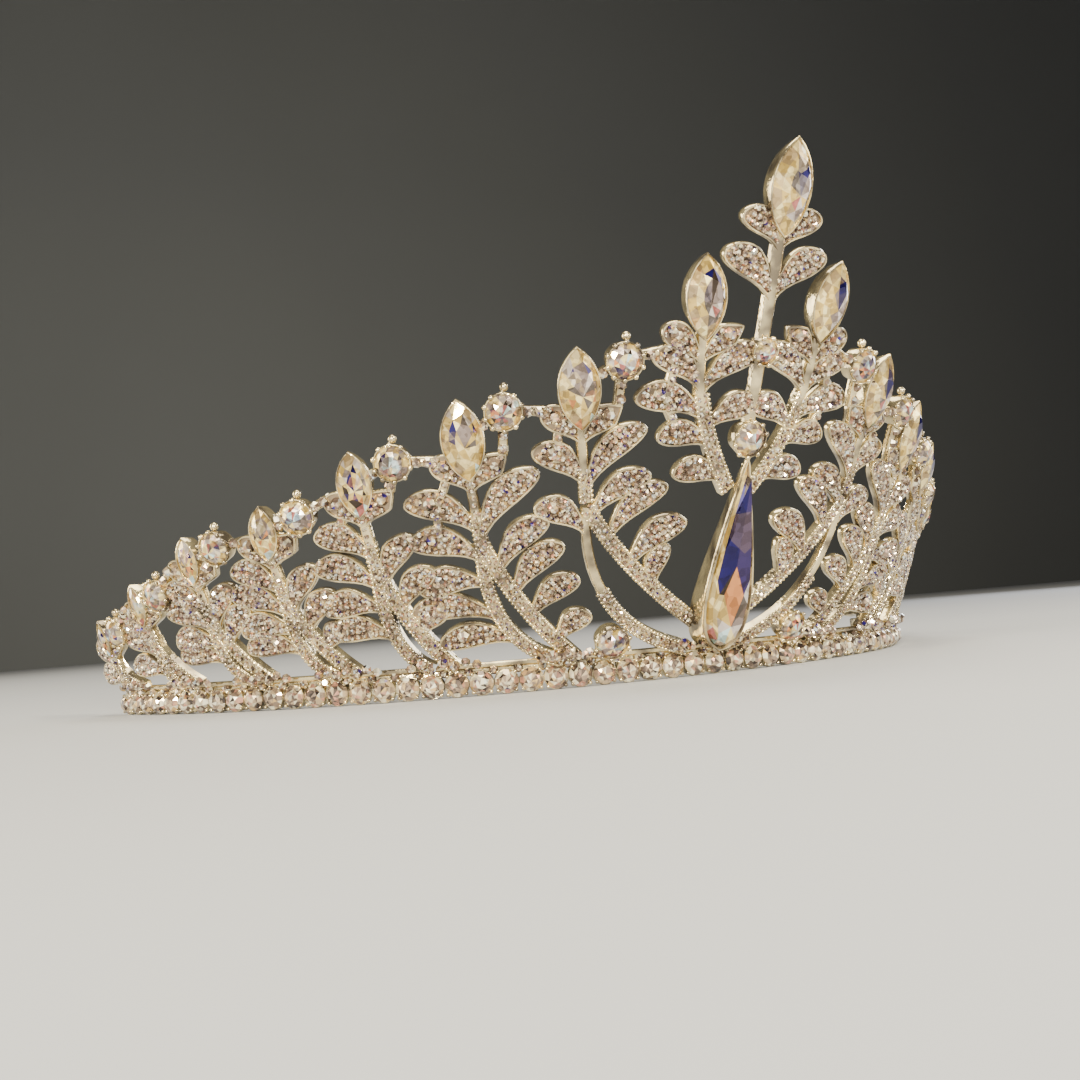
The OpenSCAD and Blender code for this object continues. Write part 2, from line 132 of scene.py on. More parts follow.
# Where a plume's main stem forks, and how its stems bend, as shares of pitch and height
FORK_SHARE, FORK_IN = 0.28, 0.06
OUTER_PULL, OUTER_SHIFT = 0.2, 0.06
INNER_PULL, INNER_SHIFT = 0.45, 0.3
FIRST_BOW = 0.04
# Where the first two plumes meet the pear's setting, as shares of its width and length
FIRST_ROOT_OUT, FIRST_ROOT_DOWN = 0.2, 0.14
SECOND_ROOT_OUT, SECOND_ROOT_UP = 0.42, 0.13
ROOT_SINK = 0.5
# A round stone's place in and down from the next plume's tip, as shares of pitch and peak
ROUND_IN, ROUND_DOWN = 0.4, 0.033
# The pear's right side from its foot up, and how far its rim stands out from the wall
PEAR_HALF = [(0.3, 0.05), (0.45, 0.14), (0.5, 0.27), (0.45, 0.42), (0.34, 0.6), (0.18, 0.8)]
PEAR_TOP_H = 0.437 * PEAK_H
PEAR_TOP_OUT = 1.8
PEAR_FOOT_OUT = 5.2
PEAR_FOOT_SINK = 0.8
PEAR_BACK = 0.8
CREST_H = 0.478 * PEAK_H
BUD_H = 0.637 * PEAK_H
BUD_SCALE = 0.75
BAND_ROUND_IN = 0.43
BAND_ROUND_UP = 0.35
BAND_STONE_H = BAND_PITCH / 2 + 0.1


# The wall: s runs along the band from the centre, h is the height above the base
def lean(s):
    """The slope of the wall at the base."""
    return SIDE_LEAN + (FRONT_LEAN - SIDE_LEAN) / (1 + (s / LEAN_SPAN) ** 2)


def flare(s, h):
    """How far out the wall has come at a height."""
    return h * lean(s) - CURL * (h / PEAK_H) ** 2


def slope(s, h):
    """The slope of the wall at a height."""
    return lean(s) - 2 * CURL * h / PEAK_H**2


def arc_point(s, r, h):
    turn = s / BAND_R
    return Vector((r * math.sin(turn), ARC_Y - r * math.cos(turn), h))


def at(place, out=0.0):
    """The point of the wall at a place, or as far out from there as the second value says."""
    s, h = place
    return arc_point(s, BAND_R + flare(s, h) + out, h)


def facing(place):
    """The direction that the wall faces at a place."""
    s, h = place
    turn = s / BAND_R
    return Vector((math.sin(turn), -math.cos(turn), -slope(s, h))).normalized()


def frame_between(a, b, outward):
    """A matrix with its origin at a, y along a to b and z facing outward."""
    y = (b - a).normalized()
    z = (outward - y * outward.dot(y)).normalized()
    x = y.cross(z)
    m = Matrix((x, y, z)).transposed().to_4x4()
    m.translation = a
    return m


def arc_frame(s, r, h):
    """A place on an arc round the band's middle, upright and facing outward."""
    turn = s / BAND_R
    centre = arc_point(s, r, h)
    outward = Vector((math.sin(turn), -math.cos(turn), 0))
    return frame_between(centre, centre + Vector((0, 0, 1)), outward)


def forward_of(place):
    """The direction in which a placed piece faces."""
    return place.to_3x3() @ Vector((0, 0, 1))


def mix(a, b, t):
    return (a[0] + (b[0] - a[0]) * t, a[1] + (b[1] - a[1]) * t)


def bend(a, b, c, t):
    """A place on the curve from a to c that is pulled towards b."""
    return mix(mix(a, b, t), mix(b, c, t), t)


# Places of the plumes, as (s, h)
def tip(k):
    s = FIRST_PLUME + (k - 1) * (PLUME_PITCH + (k - 2) * PLUME_GROWTH / 2)
    return (s, PLUMES[k - 1].height * PEAK_H)


def rise(length, s, h):
    """The height that a length along the wall takes up."""
    return length / math.sqrt(1 + slope(s, h) ** 2)


def foot(k):
    s, h = tip(k)
    length = MARQUISE_L * PLUMES[k - 1].stone + 2 * WALL
    return (s - PLUMES[k - 1].foot_in * PLUME_PITCH, h - rise(length, s, h))


def fork(k):
    s, h = foot(k)
    return (s - FORK_IN * PLUME_PITCH, h * (1 - FORK_SHARE))


def root(k, stem):
    if k == 1:
        return (PEAR_W * FIRST_ROOT_OUT, PEAR_TOP_H - FIRST_ROOT_DOWN * PEAR_L)
    if k == 2 and stem == INNER:
        return (PEAR_W * SECOND_ROOT_OUT, BAND_H + SECOND_ROOT_UP * PEAR_L)
    share = PLUMES[k - 1].outer_in if stem == OUTER else PLUMES[k - 1].inner_in
    return (tip(k)[0] - share * PLUME_PITCH, BAND_H - ROOT_SINK)


def stem_point(k, stem, t):
    """A place on a stem, with t from 0 at its top to 1 at its foot."""
    a, f, r = foot(k), fork(k), root(k, stem)
    if stem == MAIN and k == 1:
        return bend(a, (a[0] + FIRST_BOW * PLUME_PITCH, (a[1] + r[1]) / 2), r, t)
    if stem == MAIN:
        return mix(a, f, t)
    if stem == OUTER:
        pull = (f[0] + OUTER_SHIFT * PLUME_PITCH, r[1] + (f[1] - r[1]) * OUTER_PULL)
    else:
        pull = (f[0] - (f[0] - r[0]) * INNER_SHIFT, r[1] + (f[1] - r[1]) * INNER_PULL)
    return bend(f, pull, r, t)


def span(k, stem, a, b, steps=14):
    return [stem_point(k, stem, a + (b - a) * i / steps) for i in range(steps + 1)]


def leaves_of(k):
    """The rows of plume k: its own near the centre, and the shared ones further out."""
    if k < FIRST_SIDE_PLUME:
        return [row for row in LEAVES if row.plume == k]
    return [row for row in SIDE_LEAVES if row.plume >= k]


def leaf_ends(row, k):
    a = stem_point(k, row.stem, row.place)
    return a, (a[0] + row.out * LEAF_REACH, a[1] + row.up * LEAF_REACH)


def small_leaf_ends(k, way):
    """Ends of the small leaf under plume k's stone, outward where way is 1 and inward at -1."""
    s, h = stem_point(k, MAIN, SMALL_AT)
    return (s, h), (s + way * SMALL_OUT * LEAF_REACH, h + SMALL_UP * LEAF_REACH)


def round_place(k):
    """The place of the round stone between plume k and the next."""
    s, h = tip(k + 1)
    return (s - ROUND_IN * PLUME_PITCH, h - ROUND_DOWN * PEAK_H)


BAND_ROUND = (tip(2)[0] - BAND_ROUND_IN * PLUME_PITCH, BAND_H + ROUND_D * BAND_ROUND_UP)
PEAK_TIP = (0, PEAK_H)
PEAK_FOOT = (0, PEAK_H - rise(PEAK_L + 2 * WALL, 0, PEAK_H))


# Outlines, counter-clockwise, in millimetres
def lens(width, length, count=28):
    r = (length**2 + width**2) / (4 * width)
    side_count = count // 2
    points = []
    for i in range(count):
        v = 2 * i / side_count - 1 if i < side_count else 3 - 2 * i / side_count
        x = math.sqrt(max(0, r * r - (v * length / 2) ** 2)) - (r - width / 2)
        points.append((x if i < side_count else -x, v * length / 2))
    return points


def ring(d, count=24):
    turns = [(i + 0.5) * math.tau / count for i in range(count)]
    return [(math.cos(turn) * d / 2, math.sin(turn) * d / 2) for turn in turns]


def smooth_closed(points, steps):
    """A closed smooth curve through the points."""
    out = []
    n = len(points)
    for i in range(n):
        p = [Vector(points[(i + j - 1) % n]) for j in range(4)]
        for k in range(steps):
            t = k / steps
            q = 0.5 * (
                2 * p[1]
                + (p[2] - p[0]) * t
                + (2 * p[0] - 5 * p[1] + 4 * p[2] - p[3]) * t**2
                + (3 * p[1] - p[0] - 3 * p[2] + p[3]) * t**3
            )
            out.append((q.x, q.y))
    return out


def pear(width, length, steps=3):
    right = [(x * width, y * length) for x, y in PEAR_HALF]
    left = [(-x, y) for x, y in reversed(right)]
    return smooth_closed([(0, 0)] + right + [(0, length)] + left, steps)


def inset(points, by):
    """The outline moved inwards by a distance."""
    out = []
    n = len(points)
    for i in range(n):
        before, here, after = Vector(points[i - 1]), Vector(points[i]), Vector(points[(i + 1) % n])
        e1, e2 = (here - before).normalized(), (after - here).normalized()
        n1, n2 = Vector((-e1.y, e1.x)), Vector((-e2.y, e2.x))
        m = n1 + n2
        # At a sharp corner the move is limited, so that the corner doesn't shoot inwards
        m = m / max(0.5, m.dot(n1)) if m.length > 0.1 else n1
        q = here + m * by
        out.append((q.x, q.y))
    return out


def stepped(outline, section):
    """The outline at each step of a section, given as (inset, height)."""
    return [(inset(outline, by), height) for by, height in section]


# The two materials of the cast metal: the plain one, and a darker one for the beds under and
# between stones, partly their own brown-gold tone and partly painted shade
METAL_SLOT, SHADED_BED_SLOT = 0, 1


def put_in_scene(name, data):
    thing = bpy.data.objects.new(name, data)
    bpy.context.scene.collection.objects.link(thing)
    return thing


def flip(v):
    """The vector on the other side of the centre."""
    return Vector((-v.x, v.y, v.z))


class Shell:
    """Collects points in millimetres and faces for one mesh."""

    def __init__(self):
        self.points, self.faces, self.slots, self.painted_flash = [], [], [], []

    def add(self, points, faces, painted_flash=None):
        start = len(self.points)
        self.points += [Vector(p) for p in points]
        self.faces += [[start + i for i in f] for f in faces]
        self.slots += [METAL_SLOT] * len(faces)
        self.painted_flash += painted_flash or [0.0] * len(faces)

    def sweep(self, sections):
        """Joins sections of equal length and closes both ends."""
        n = len(sections[0])
        last = (len(sections) - 1) * n
        faces = [list(reversed(range(n)))]
        for row in range(0, last, n):
            for i in range(n):
                k = (i + 1) % n
                faces.append([row + i, row + k, row + n + k, row + n + i])
        faces.append([last + i for i in range(n)])
        self.add([p for section in sections for p in section], faces)

    def rings(self, place, outlines):
        """Joins flat outlines, each with its height. The last one closes with a bed, which takes
        the darker metal with painted shade.
        """
        self.sweep([[place @ Vector((x, y, z)) for x, y in outline] for outline, z in outlines])
        self.slots[-1] = SHADED_BED_SLOT

    def mirrored(self):
        """The same faces on the other side of the centre."""
        other = Shell()
        other.points = [flip(p) for p in self.points]
        other.faces = [list(reversed(f)) for f in self.faces]
        other.slots, other.painted_flash = list(self.slots), list(self.painted_flash)
        return other

    def join(self, other):
        self.add(other.points, other.faces, other.painted_flash)
        self.slots[-len(other.faces):] = other.slots

    def make(self, name, materials, cut=None):
        """A piece in the scene, flat shaded, or smooth over edges below the angle cut."""
        mesh = bpy.data.meshes.new(name)
        mesh.from_pydata([p * MM for p in self.points], [], self.faces)
        mesh.validate()
        for m in materials:
            mesh.materials.append(m)
        mesh.polygons.foreach_set("material_index", self.slots)
        # Each face's level picks its painted reflection colour
        painted_flash = mesh.attributes.new("painted_flash", "FLOAT", "FACE")
        painted_flash.data.foreach_set("value", self.painted_flash)
        if cut:
            mesh.shade_smooth()
            mesh.set_sharp_from_angle(angle=math.radians(cut))
        return put_in_scene(name, mesh)


# Materials
PLATE_LIGHT, PLATE_DARK = (0.92, 0.78, 0.47), (0.24, 0.2, 0.145)
# The beds' colours: a darker brown-gold, partly their own tone and partly painted shade of the
# recesses between and under stones
SHADED_BED_LIGHT, SHADED_BED_DARK = (0.38, 0.29, 0.2), (0.15, 0.115, 0.085)


def new_material(name):
    material = bpy.data.materials.new(name)
    material.use_nodes = True
    tree = material.node_tree
    shader = tree.nodes["Principled BSDF"]
    return material, tree, shader


def object_texture(tree, kind, scale):
    """A texture node that follows the piece's own coordinates."""
    where = tree.nodes.new("ShaderNodeTexCoord")
    texture = tree.nodes.new(kind)
    texture.inputs["Scale"].default_value = scale
    tree.links.new(where.outputs["Object"], texture.inputs["Vector"])
    return texture


def object_noise(tree, scale, detail=2.0):
    noise = object_texture(tree, "ShaderNodeTexNoise", scale)
    noise.inputs["Detail"].default_value = detail
    return noise.outputs["Fac"]


def object_patches(tree, scale):
    """Random levels, as three channels, each the same over one small patch."""
    patches = object_texture(tree, "ShaderNodeTexVoronoi", scale)
    levels = tree.nodes.new("ShaderNodeSeparateColor")
    tree.links.new(patches.outputs["Color"], levels.inputs["Color"])
    return levels.outputs


def ramp(tree, source, stops, constant=False):
    node = tree.nodes.new("ShaderNodeValToRGB")
    node.color_ramp.interpolation = "CONSTANT" if constant else "LINEAR"
    elements = node.color_ramp.elements
    while len(elements) > 1:
        elements.remove(elements[-1])
    elements[0].position = stops[0][0]
    elements[0].color = (*stops[0][1], 1)
    for position, colour in stops[1:]:
        elements.new(position).color = (*colour, 1)
    tree.links.new(source, node.inputs["Fac"])
    return node.outputs["Color"]


def calculate(tree, operation, source, value):
    node = tree.nodes.new("ShaderNodeMath")
    node.operation = operation
    node.inputs[1].default_value = value
    tree.links.new(source, node.inputs[0])
    return node.outputs[0]


def mix_colours(tree, first, second, blend_type="MIX"):
    """The mix node of two colours, and its output."""
    node = tree.nodes.new("ShaderNodeMix")
    node.data_type = "RGBA"
    node.blend_type = blend_type
    node.inputs[0].default_value = 1.0
    tree.links.new(first, node.inputs[6])
    tree.links.new(second, node.inputs[7])
    return node, node.outputs[2]


def bump(tree, shader, source, strength, distance):
    node = tree.nodes.new("ShaderNodeBump")
    node.inputs["Strength"].default_value = strength
    node.inputs["Distance"].default_value = distance
    tree.links.new(source, node.inputs["Height"])
    tree.links.new(node.outputs["Normal"], shader.inputs["Normal"])


def cast_metal(name, light, dark, roughness):
    """Plated metal with cloudy tones, uneven polish and the fine waves of a casting."""
    material, tree, shader = new_material(name)
    colour = ramp(tree, object_noise(tree, 260), [(0.35, dark), (0.62, light)])
    tree.links.new(colour, shader.inputs["Base Color"])
    shader.inputs["Metallic"].default_value = 0.88
    rough = tree.nodes.new("ShaderNodeMapRange")
    rough.inputs["To Min"].default_value = roughness * 0.7
    rough.inputs["To Max"].default_value = roughness * 1.5
    tree.links.new(object_noise(tree, 900, 3.0), rough.inputs["Value"])
    tree.links.new(rough.outputs["Result"], shader.inputs["Roughness"])
    bump(tree, shader, object_noise(tree, 1100), 0.6, 0.00012)
    return material


# Painted reflections, as colours on the stones' facets: pale glints, dark reflections and coloured
# ones such as navy and peach, each from the level that it starts at
PAINTED_REFLECTIONS = [
    (0.0, (0.66, 0.48, 0.16)),
    (0.12, (0.92, 0.76, 0.38)),
    (0.24, (0.42, 0.31, 0.17)),
    (0.34, (0.62, 0.56, 0.55)),
    (0.46, (0.13, 0.11, 0.105)),
    (0.56, (0.27, 0.215, 0.21)),
    (0.64, (0.046, 0.031, 0.023)),
    (0.7, (0.011, 0.007, 0.1)),
    (0.8, (0.045, 0.03, 0.13)),
    (0.86, (0.7, 0.29, 0.11)),
    (0.93, (0.42, 0.145, 0.14)),
    (0.97, (0.6, 0.85, 0.97)),
]
# The small stones' painted reflections; the first, nearly white, is a painted glint
PAVE_PAINTED_REFLECTIONS = [
    (0.0, (1.0, 0.95, 0.74)),
    (0.15, (0.64, 0.5, 0.33)),
    (0.28, (0.35, 0.26, 0.195)),
    (0.44, (0.26, 0.18, 0.142)),
    (0.61, (0.135, 0.1, 0.084)),
    (0.81, (0.045, 0.034, 0.032)),
    (0.86, (0.72, 0.5, 0.22)),
    (0.91, (0.64, 0.33, 0.24)),
    (0.95, (0.032, 0.017, 0.24)),
    (0.97, (0.78, 0.9, 1.0)),
]
# Fine patches that darken and brighten the painted reflections of the larger stones
GRAIN_SHADES = [(0, (0.56, 0.52, 0.45)), (0.5, (0.95, 0.93, 0.88)), (1, (1.25, 1.25, 1.25))]
# The level above which a patch shows its own painted reflection over the facet's
BROKEN_ABOVE = 0.6


def crystal(name, stops, patch, broken, metallic, roughness=0.05, grain=0.0, coat=0.45):
    """Cut glass, metallic as if backed with foil, coloured with painted reflections: each facet
    shows one, broken by finer patches.
    """
    material, tree, shader = new_material(name)
    painted_flash = tree.nodes.new("ShaderNodeAttribute")
    painted_flash.attribute_name = "painted_flash"
    levels = object_patches(tree, patch)
    facet = ramp(tree, painted_flash.outputs["Fac"], stops, constant=True)
    inner = ramp(tree, levels["Red"], stops, constant=True)
    blend, colour = mix_colours(tree, facet, inner)
    shown = calculate(tree, "GREATER_THAN", levels["Green"], BROKEN_ABOVE)
    tree.links.new(calculate(tree, "MULTIPLY", shown, broken), blend.inputs[0])
    if grain:
        shade = ramp(tree, object_patches(tree, grain)["Blue"], GRAIN_SHADES)
        colour = mix_colours(tree, colour, shade, "MULTIPLY")[1]
    tree.links.new(colour, shader.inputs["Base Color"])
    shader.inputs["Metallic"].default_value = metallic
    shader.inputs["Roughness"].default_value = roughness
    shader.inputs["IOR"].default_value = 1.6
    shader.inputs["Coat Weight"].default_value = coat
    shader.inputs["Coat Roughness"].default_value = 0.02
    return material


METAL = cast_metal("cast_silver_gold", PLATE_LIGHT, PLATE_DARK, 0.1)
# The beds' darker metal is partly painted shade of the recesses
SHADED_BED = cast_metal("pave_bed_painted_shade", SHADED_BED_LIGHT, SHADED_BED_DARK, 0.3)
# The stones' colours are painted reflections and glints, on top of the real ones from the lamps
LARGE_CRYSTAL = crystal("large_crystal_painted_reflections", PAINTED_REFLECTIONS, 520, 0.28, 0.62, grain=1300, coat=0.2)
ROUND_CRYSTAL = crystal("round_cut_crystal", PAINTED_REFLECTIONS, 950, 0.6, 0.62, grain=1500, coat=0.3)
PEAR_CRYSTAL = crystal("pear_crystal_painted_reflections", PAINTED_REFLECTIONS, 160, 0.1, 0.7, grain=700, coat=0.2)
PAVE_CRYSTAL = crystal("pave_crystal_painted_reflections", PAVE_PAINTED_REFLECTIONS, 1600, 0.4, 0.68, 0.09)


# Cast metal, with sizes in millimetres
# Sections are given as (inset, height) from the underside to the bed
LEAF_TOP = LEAF_T / 2
RIM_W = 0.3
LEAF_BED = LEAF_TOP - 0.3
LEAF_SECTION = [
    (0.2, -LEAF_TOP), (0, -LEAF_TOP + 0.25), (0, LEAF_TOP - 0.12),
    (0.08, LEAF_TOP), (RIM_W, LEAF_TOP), (RIM_W + 0.08, LEAF_BED),
]
SETTING_TOP = SETTING_T / 2
SETTING_BACK_SHARE = 0.84
SETTING_BACK = [(0.2, -SETTING_TOP), (0, -SETTING_TOP + 0.15)]
SETTING_FRONT = [
    (0, SETTING_TOP - 0.2), (0.08, SETTING_TOP), (0.24, SETTING_TOP + 0.05),
    (0.3, SETTING_TOP - 0.1), (WALL, SETTING_TOP - 1.3),
]
CUP_SECTION = [
    (0.5, 0), (0.15, 0.3), (0, BAND_T - 0.2),
    (0.06, BAND_T), (0.16, BAND_T), (0.2, BAND_T - 0.3),
]
PEAR_SECTION = [(0, -0.5), (0, 0.1), (0.15, 0.35), (0.38, 0.35), (0.55, -0.2), (0.8, -1.2)]
# Left sides of the stems' profiles: across as a share of the width, and height
SMOOTH_SIDE = [(-0.5, -0.7), (-0.5, 0.25), (-0.36, 0.6), (-0.12, 0.78)]
PAVED_SIDE = [(-0.5, -0.8), (-0.5, 0.6), (-0.42, 0.8), (-0.34, 0.8), (-0.28, 0.5)]
# Profile of the band's rail: outward and height
RAIL_PROFILE = [
    (0, 5.15), (0.25, 5.4), (2.2, 5.4), (2.4, 5.2), (2.4, 4.8),
    (2.3, 4.6), (1.9, 4.4), (1.9, 3.4), (0, 3.4),
]
# Leaves: place of the widest part, the neck's share of the width, and the bend
BELLY = 0.66
NECK = 0.3
LEAF_BOW, SMALL_BOW = 0.12, 0.05
LEAF_STRETCH = 1.08
LEAF_STEPS = [0, 0.12, 0.24, 0.36, 0.48, 0.58, 0.66, 0.74, 0.81, 0.87, 0.92, 0.96, 0.988]
# The small stones on a leaf. The rows start at a share of its length and stop short of its tip
PAVE_D = 1.36
PAVE_PITCH = 1.12
ROW_PITCH = PAVE_PITCH * 0.9
BED_START, BED_END = 0.12, 0.6
# The larger stone: its place as a share of the length, the gap round it, and its sizes
GEM_AT, GEM_CLEAR = 0.7, 0.15
SMALL_GEM, LEAF_GEM = 2.3, 2.2
# Paved stems: a stone as a share of the width, and the pitch as a share of a stone
STEM_STONE, STEM_STEP = 0.44, 0.55
# How far off the middle and how high the stones lie, and the beads along the edges
STONE_SIDE, STONE_UP = 0.2, 0.5
BEAD_SIDE, BEAD_UP, BEAD_D, BEAD_PITCH = 0.44, 0.62, 0.62, 0.75
# How far small stones and beads turn away from their neighbours
TILT = 0.24
rng = random.Random(7)


def leaf_form(length, half_width, bow, pointed):
    """Outline of a leaf, and its middle line and half width at any share of its length."""

    def middle(t):
        return bow * length * (4 * t * (1 - t) - 0.35 * t)

    def wide(t):
        if t < BELLY:
            u = t / BELLY
            return half_width * (NECK + (1 - NECK) * u * u * (3 - 2 * u))
        u = min(1, (t - BELLY) / (1 - BELLY))
        return half_width * ((1 - u) ** 0.75 if pointed else math.sqrt(1 - u * u))

    right = [(middle(t) + wide(t), t * length) for t in LEAF_STEPS]
    left = [(middle(t) - wide(t), t * length) for t in reversed(LEAF_STEPS)]
    return right + [(middle(1), length)] + left, middle, wide


def path_frames(places):
    """Point, side and outward direction at each place along a stem."""
    out = []
    for j, place in enumerate(places):
        before, after = places[max(0, j - 1)], places[min(len(places) - 1, j + 1)]
        along = (at(after) - at(before)).normalized()
        up = facing(place)
        z = (up - along * up.dot(along)).normalized()
        out.append((at(place), z.cross(along), z))
    return out


def along_path(places, pitch):
    """Evenly spaced places along a path."""
    points = [at(p) for p in places]
    reach = [0.0]
    for a, b in zip(points, points[1:]):
        reach.append(reach[-1] + (b - a).length)
    count = max(1, int(reach[-1] / pitch))
    out = []
    j = 0
    for i in range(count):
        want = (i + 0.5) * reach[-1] / count
        while reach[j + 1] < want:
            j += 1
        t = (want - reach[j]) / (reach[j + 1] - reach[j])
        out.append(mix(places[j], places[j + 1], t))
    return out


def straight_path(a, b, steps=4):
    return [mix(a, b, i / steps) for i in range(steps + 1)]


def taper(first, last, places):
    """The width at each place of a path, from the first to the last."""
    n = len(places) - 1
    return [first + (last - first) * i / n for i in range(n + 1)]


def turned_spot(point, normal, size):
    """A spot for a small stone or bead, turned a little away from its neighbours."""
    turn = Vector([rng.uniform(-TILT, TILT) for i in range(3)])
    return point, (normal + turn).normalized(), size


class Metalwork:
    """Cast metal, with the spots of the small stones and the beads on it."""

    def __init__(self):
        self.cast, self.stones, self.beads = Shell(), [], []

    def stone(self, point, normal, size):
        self.stones.append(turned_spot(point, normal, size))

    def bead(self, point, normal, size):
        self.beads.append(turned_spot(point, normal, size))

    def stone_row(self, places, pitch, out, size):
        """Small stones of one size along a path, as far out from the wall as out says."""
        for place in along_path(places, pitch):
            self.stone(at(place) + facing(place) * out, facing(place), size)

    def sweep(self, places, widths, side):
        profile = side + [(-u, v) for u, v in reversed(side)]
        sections = []
        for (p, x, z), width in zip(path_frames(places), widths):
            sections.append([p + x * u * width + z * v for u, v in profile])
        self.cast.sweep(sections)

    def smooth(self, places, first, last):
        """A smooth stem between two widths."""
        self.sweep(places, taper(first, last, places), SMOOTH_SIDE)

    def paved(self, places, first, last):
        """A stem between two widths, with two staggered rows of stones between beaded edges."""
        widths = taper(first, last, places)
        self.sweep(places, widths, PAVED_SIDE)
        width = sum(widths) / len(widths)
        d = width * STEM_STONE
        for i, (p, x, z) in enumerate(path_frames(along_path(places, d * STEM_STEP))):
            way = 1 if i % 2 else -1
            spot = p + x * way * STONE_SIDE * width + z * STONE_UP
            self.stone(spot, z, d * rng.uniform(0.9, 1.1))
        for p, x, z in path_frames(along_path(places, BEAD_PITCH)):
            for way in (-1, 1):
                self.bead(p + x * way * BEAD_SIDE * width + z * BEAD_UP, z, BEAD_D)

    def leaf(self, a, b, wide_share, pointed=False, bow=LEAF_BOW, gem=0.0):
        """A paddle leaf with a thin rim round a bed of stones, and a larger one near its tip."""
        p, q = at(a), at(b)
        place = frame_between(p, q, facing(mix(a, b, 0.5)))
        lift = 1 if place.col[0].z > 0 else -1
        length = (q - p).length * LEAF_STRETCH
        half_width = LEAF_W * wide_share / 2
        outline, middle, wide = leaf_form(length, half_width, bow * lift, pointed)
        self.cast.rings(place, stepped(outline, LEAF_SECTION))
        self.pave_leaf(place, length, middle, wide, gem)

    def pave_leaf(self, place, length, middle, wide, gem):
        """Rows of small stones on a leaf's bed, and none where the larger one sits."""
        normal = forward_of(place)
        gem_x, gem_y = middle(GEM_AT), GEM_AT * length
        if gem:
            spot = place @ Vector((gem_x, gem_y, LEAF_BED))
            self.stone(spot + normal * 0.1, normal, gem)
        y = BED_START * length
        while y < length - BED_END:
            room = wide(y / length) - RIM_W
            count = max(1, round(2 * room / PAVE_PITCH)) if room > 0.3 else 0
            for i in range(count):
                x = middle(y / length) + (i + 0.5 - count / 2) * 2 * room / count
                near = math.hypot(x - gem_x, y - gem_y)
                if near > gem / 2 + GEM_CLEAR or not gem:
                    d = min(PAVE_D, 2 * room) * rng.uniform(0.9, 1.08)
                    self.stone(place @ Vector((x, y, LEAF_BED)), normal, d)
            y += ROW_PITCH

    def setting(self, place, outline):
        """A closed cup with a rim, for a large stone."""
        back = [(x * SETTING_BACK_SHARE, y * SETTING_BACK_SHARE) for x, y in outline]
        self.cast.rings(place, stepped(back, SETTING_BACK) + stepped(outline, SETTING_FRONT))

    def prongs(self, place, reach, height, count, size):
        """Beads round the middle of a placed stone, at one distance from it."""
        for i in range(count):
            turn = (i + 0.5) * math.tau / count
            spot = place @ Vector((reach * math.cos(turn), reach * math.sin(turn), height))
            self.bead(spot, forward_of(place), size)


# Painted reflections on the facets: ranges of levels that show one of the painted reflection
# colours
LEMON, CREAM, SAND, YELLOWS = (0.0, 0.11), (0.12, 0.23), (0.24, 0.33), (0.0, 0.23)
SILVER, SMOKE, TAUPE, UMBER = (0.34, 0.45), (0.46, 0.55), (0.56, 0.63), (0.64, 0.69)
NAVY, MAUVE = (0.7, 0.79), (0.8, 0.85)
PEACH, ROSE, ICE = (0.86, 0.92), (0.93, 0.96), (0.97, 1.0)
RIM = [LEMON, CREAM, SAND, YELLOWS]
LIGHT = [CREAM, SILVER, TAUPE]
GREY = [SMOKE, TAUPE, SILVER]
# The band's stones have the painted reflections of the paved ones, and the lightest range, mostly
# painted glint, comes twice as often
BAND_LIGHT, BAND_FAWN, BAND_TAN = (0.0, 0.22), (0.22, 0.34), (0.34, 0.45)
BAND_BROWN, BAND_DARK, BAND_AMBER = (0.6, 0.78), (0.78, 0.85), (0.85, 0.95)


def whole_colours(zone, x, v):
    """Painted reflections: cream on the left, navy high and rose low on the right, for v from foot
    -1 to tip 1.
    """
    if zone == "rim":
        return RIM if v > -0.8 else [ICE, CREAM, PEACH] + RIM
    if zone == "in" and x < 0:
        return RIM + [CREAM] if v < 0.4 else RIM + [SILVER]
    if zone == "in":
        return [NAVY] if 0.35 < v < 0.8 else GREY + LIGHT
    if v > 0.18:
        return [NAVY] if x > 0 else [TAUPE, SILVER, NAVY]
    if x < 0:
        return [SMOKE, LEMON, TAUPE]
    return [TAUPE, SILVER] if v > -0.25 else [ROSE] + LIGHT


def broken_colours(zone, x, v):
    """Painted reflections, cool above and warm below, for v from foot -1 to tip 1."""
    if v < -0.72:
        return [ICE, LEMON, PEACH, ROSE]
    if zone == "rim":
        return RIM + [SILVER] if v > 0.3 else RIM
    if v > 0.05:
        return LIGHT + [TAUPE, SILVER, SMOKE, NAVY, LEMON]
    if zone == "in":
        return [LEMON, CREAM, PEACH, LEMON, CREAM, UMBER]
    return [PEACH, LEMON, CREAM, SMOKE, CREAM]


def marquise_colours(length, pattern):
    """The painted reflection colours of a marquise of that length."""
    return lambda zone, x, y: pattern(zone, x, 2 * y / length)


# Painted reflections of a round stone, by zone
def round_colours(zone, x, y):
    if zone == "rim":
        return [LEMON, CREAM, TAUPE, SILVER] + LIGHT
    if zone == "table":
        return [TAUPE, SILVER, CREAM, ROSE, SMOKE, ICE]
    return GREY + [ROSE] + LIGHT + [UMBER, PEACH]


# Painted reflections of a band stone, the same in every zone
def band_colours(zone, x, y):
    return [BAND_LIGHT, BAND_LIGHT, BAND_TAN, BAND_FAWN, BAND_BROWN, BAND_DARK, BAND_AMBER]


# Where the pear's own coordinates begin, from its foot, and the corners of its table's warm
# heart, a painted reflection, as shares of the width and the length
PEAR_ORIGIN = 0.4
PEAR_HEART = [(-0.03, 0.46), (-0.24, 0.31), (0.03, 0.13), (0.24, 0.3)]


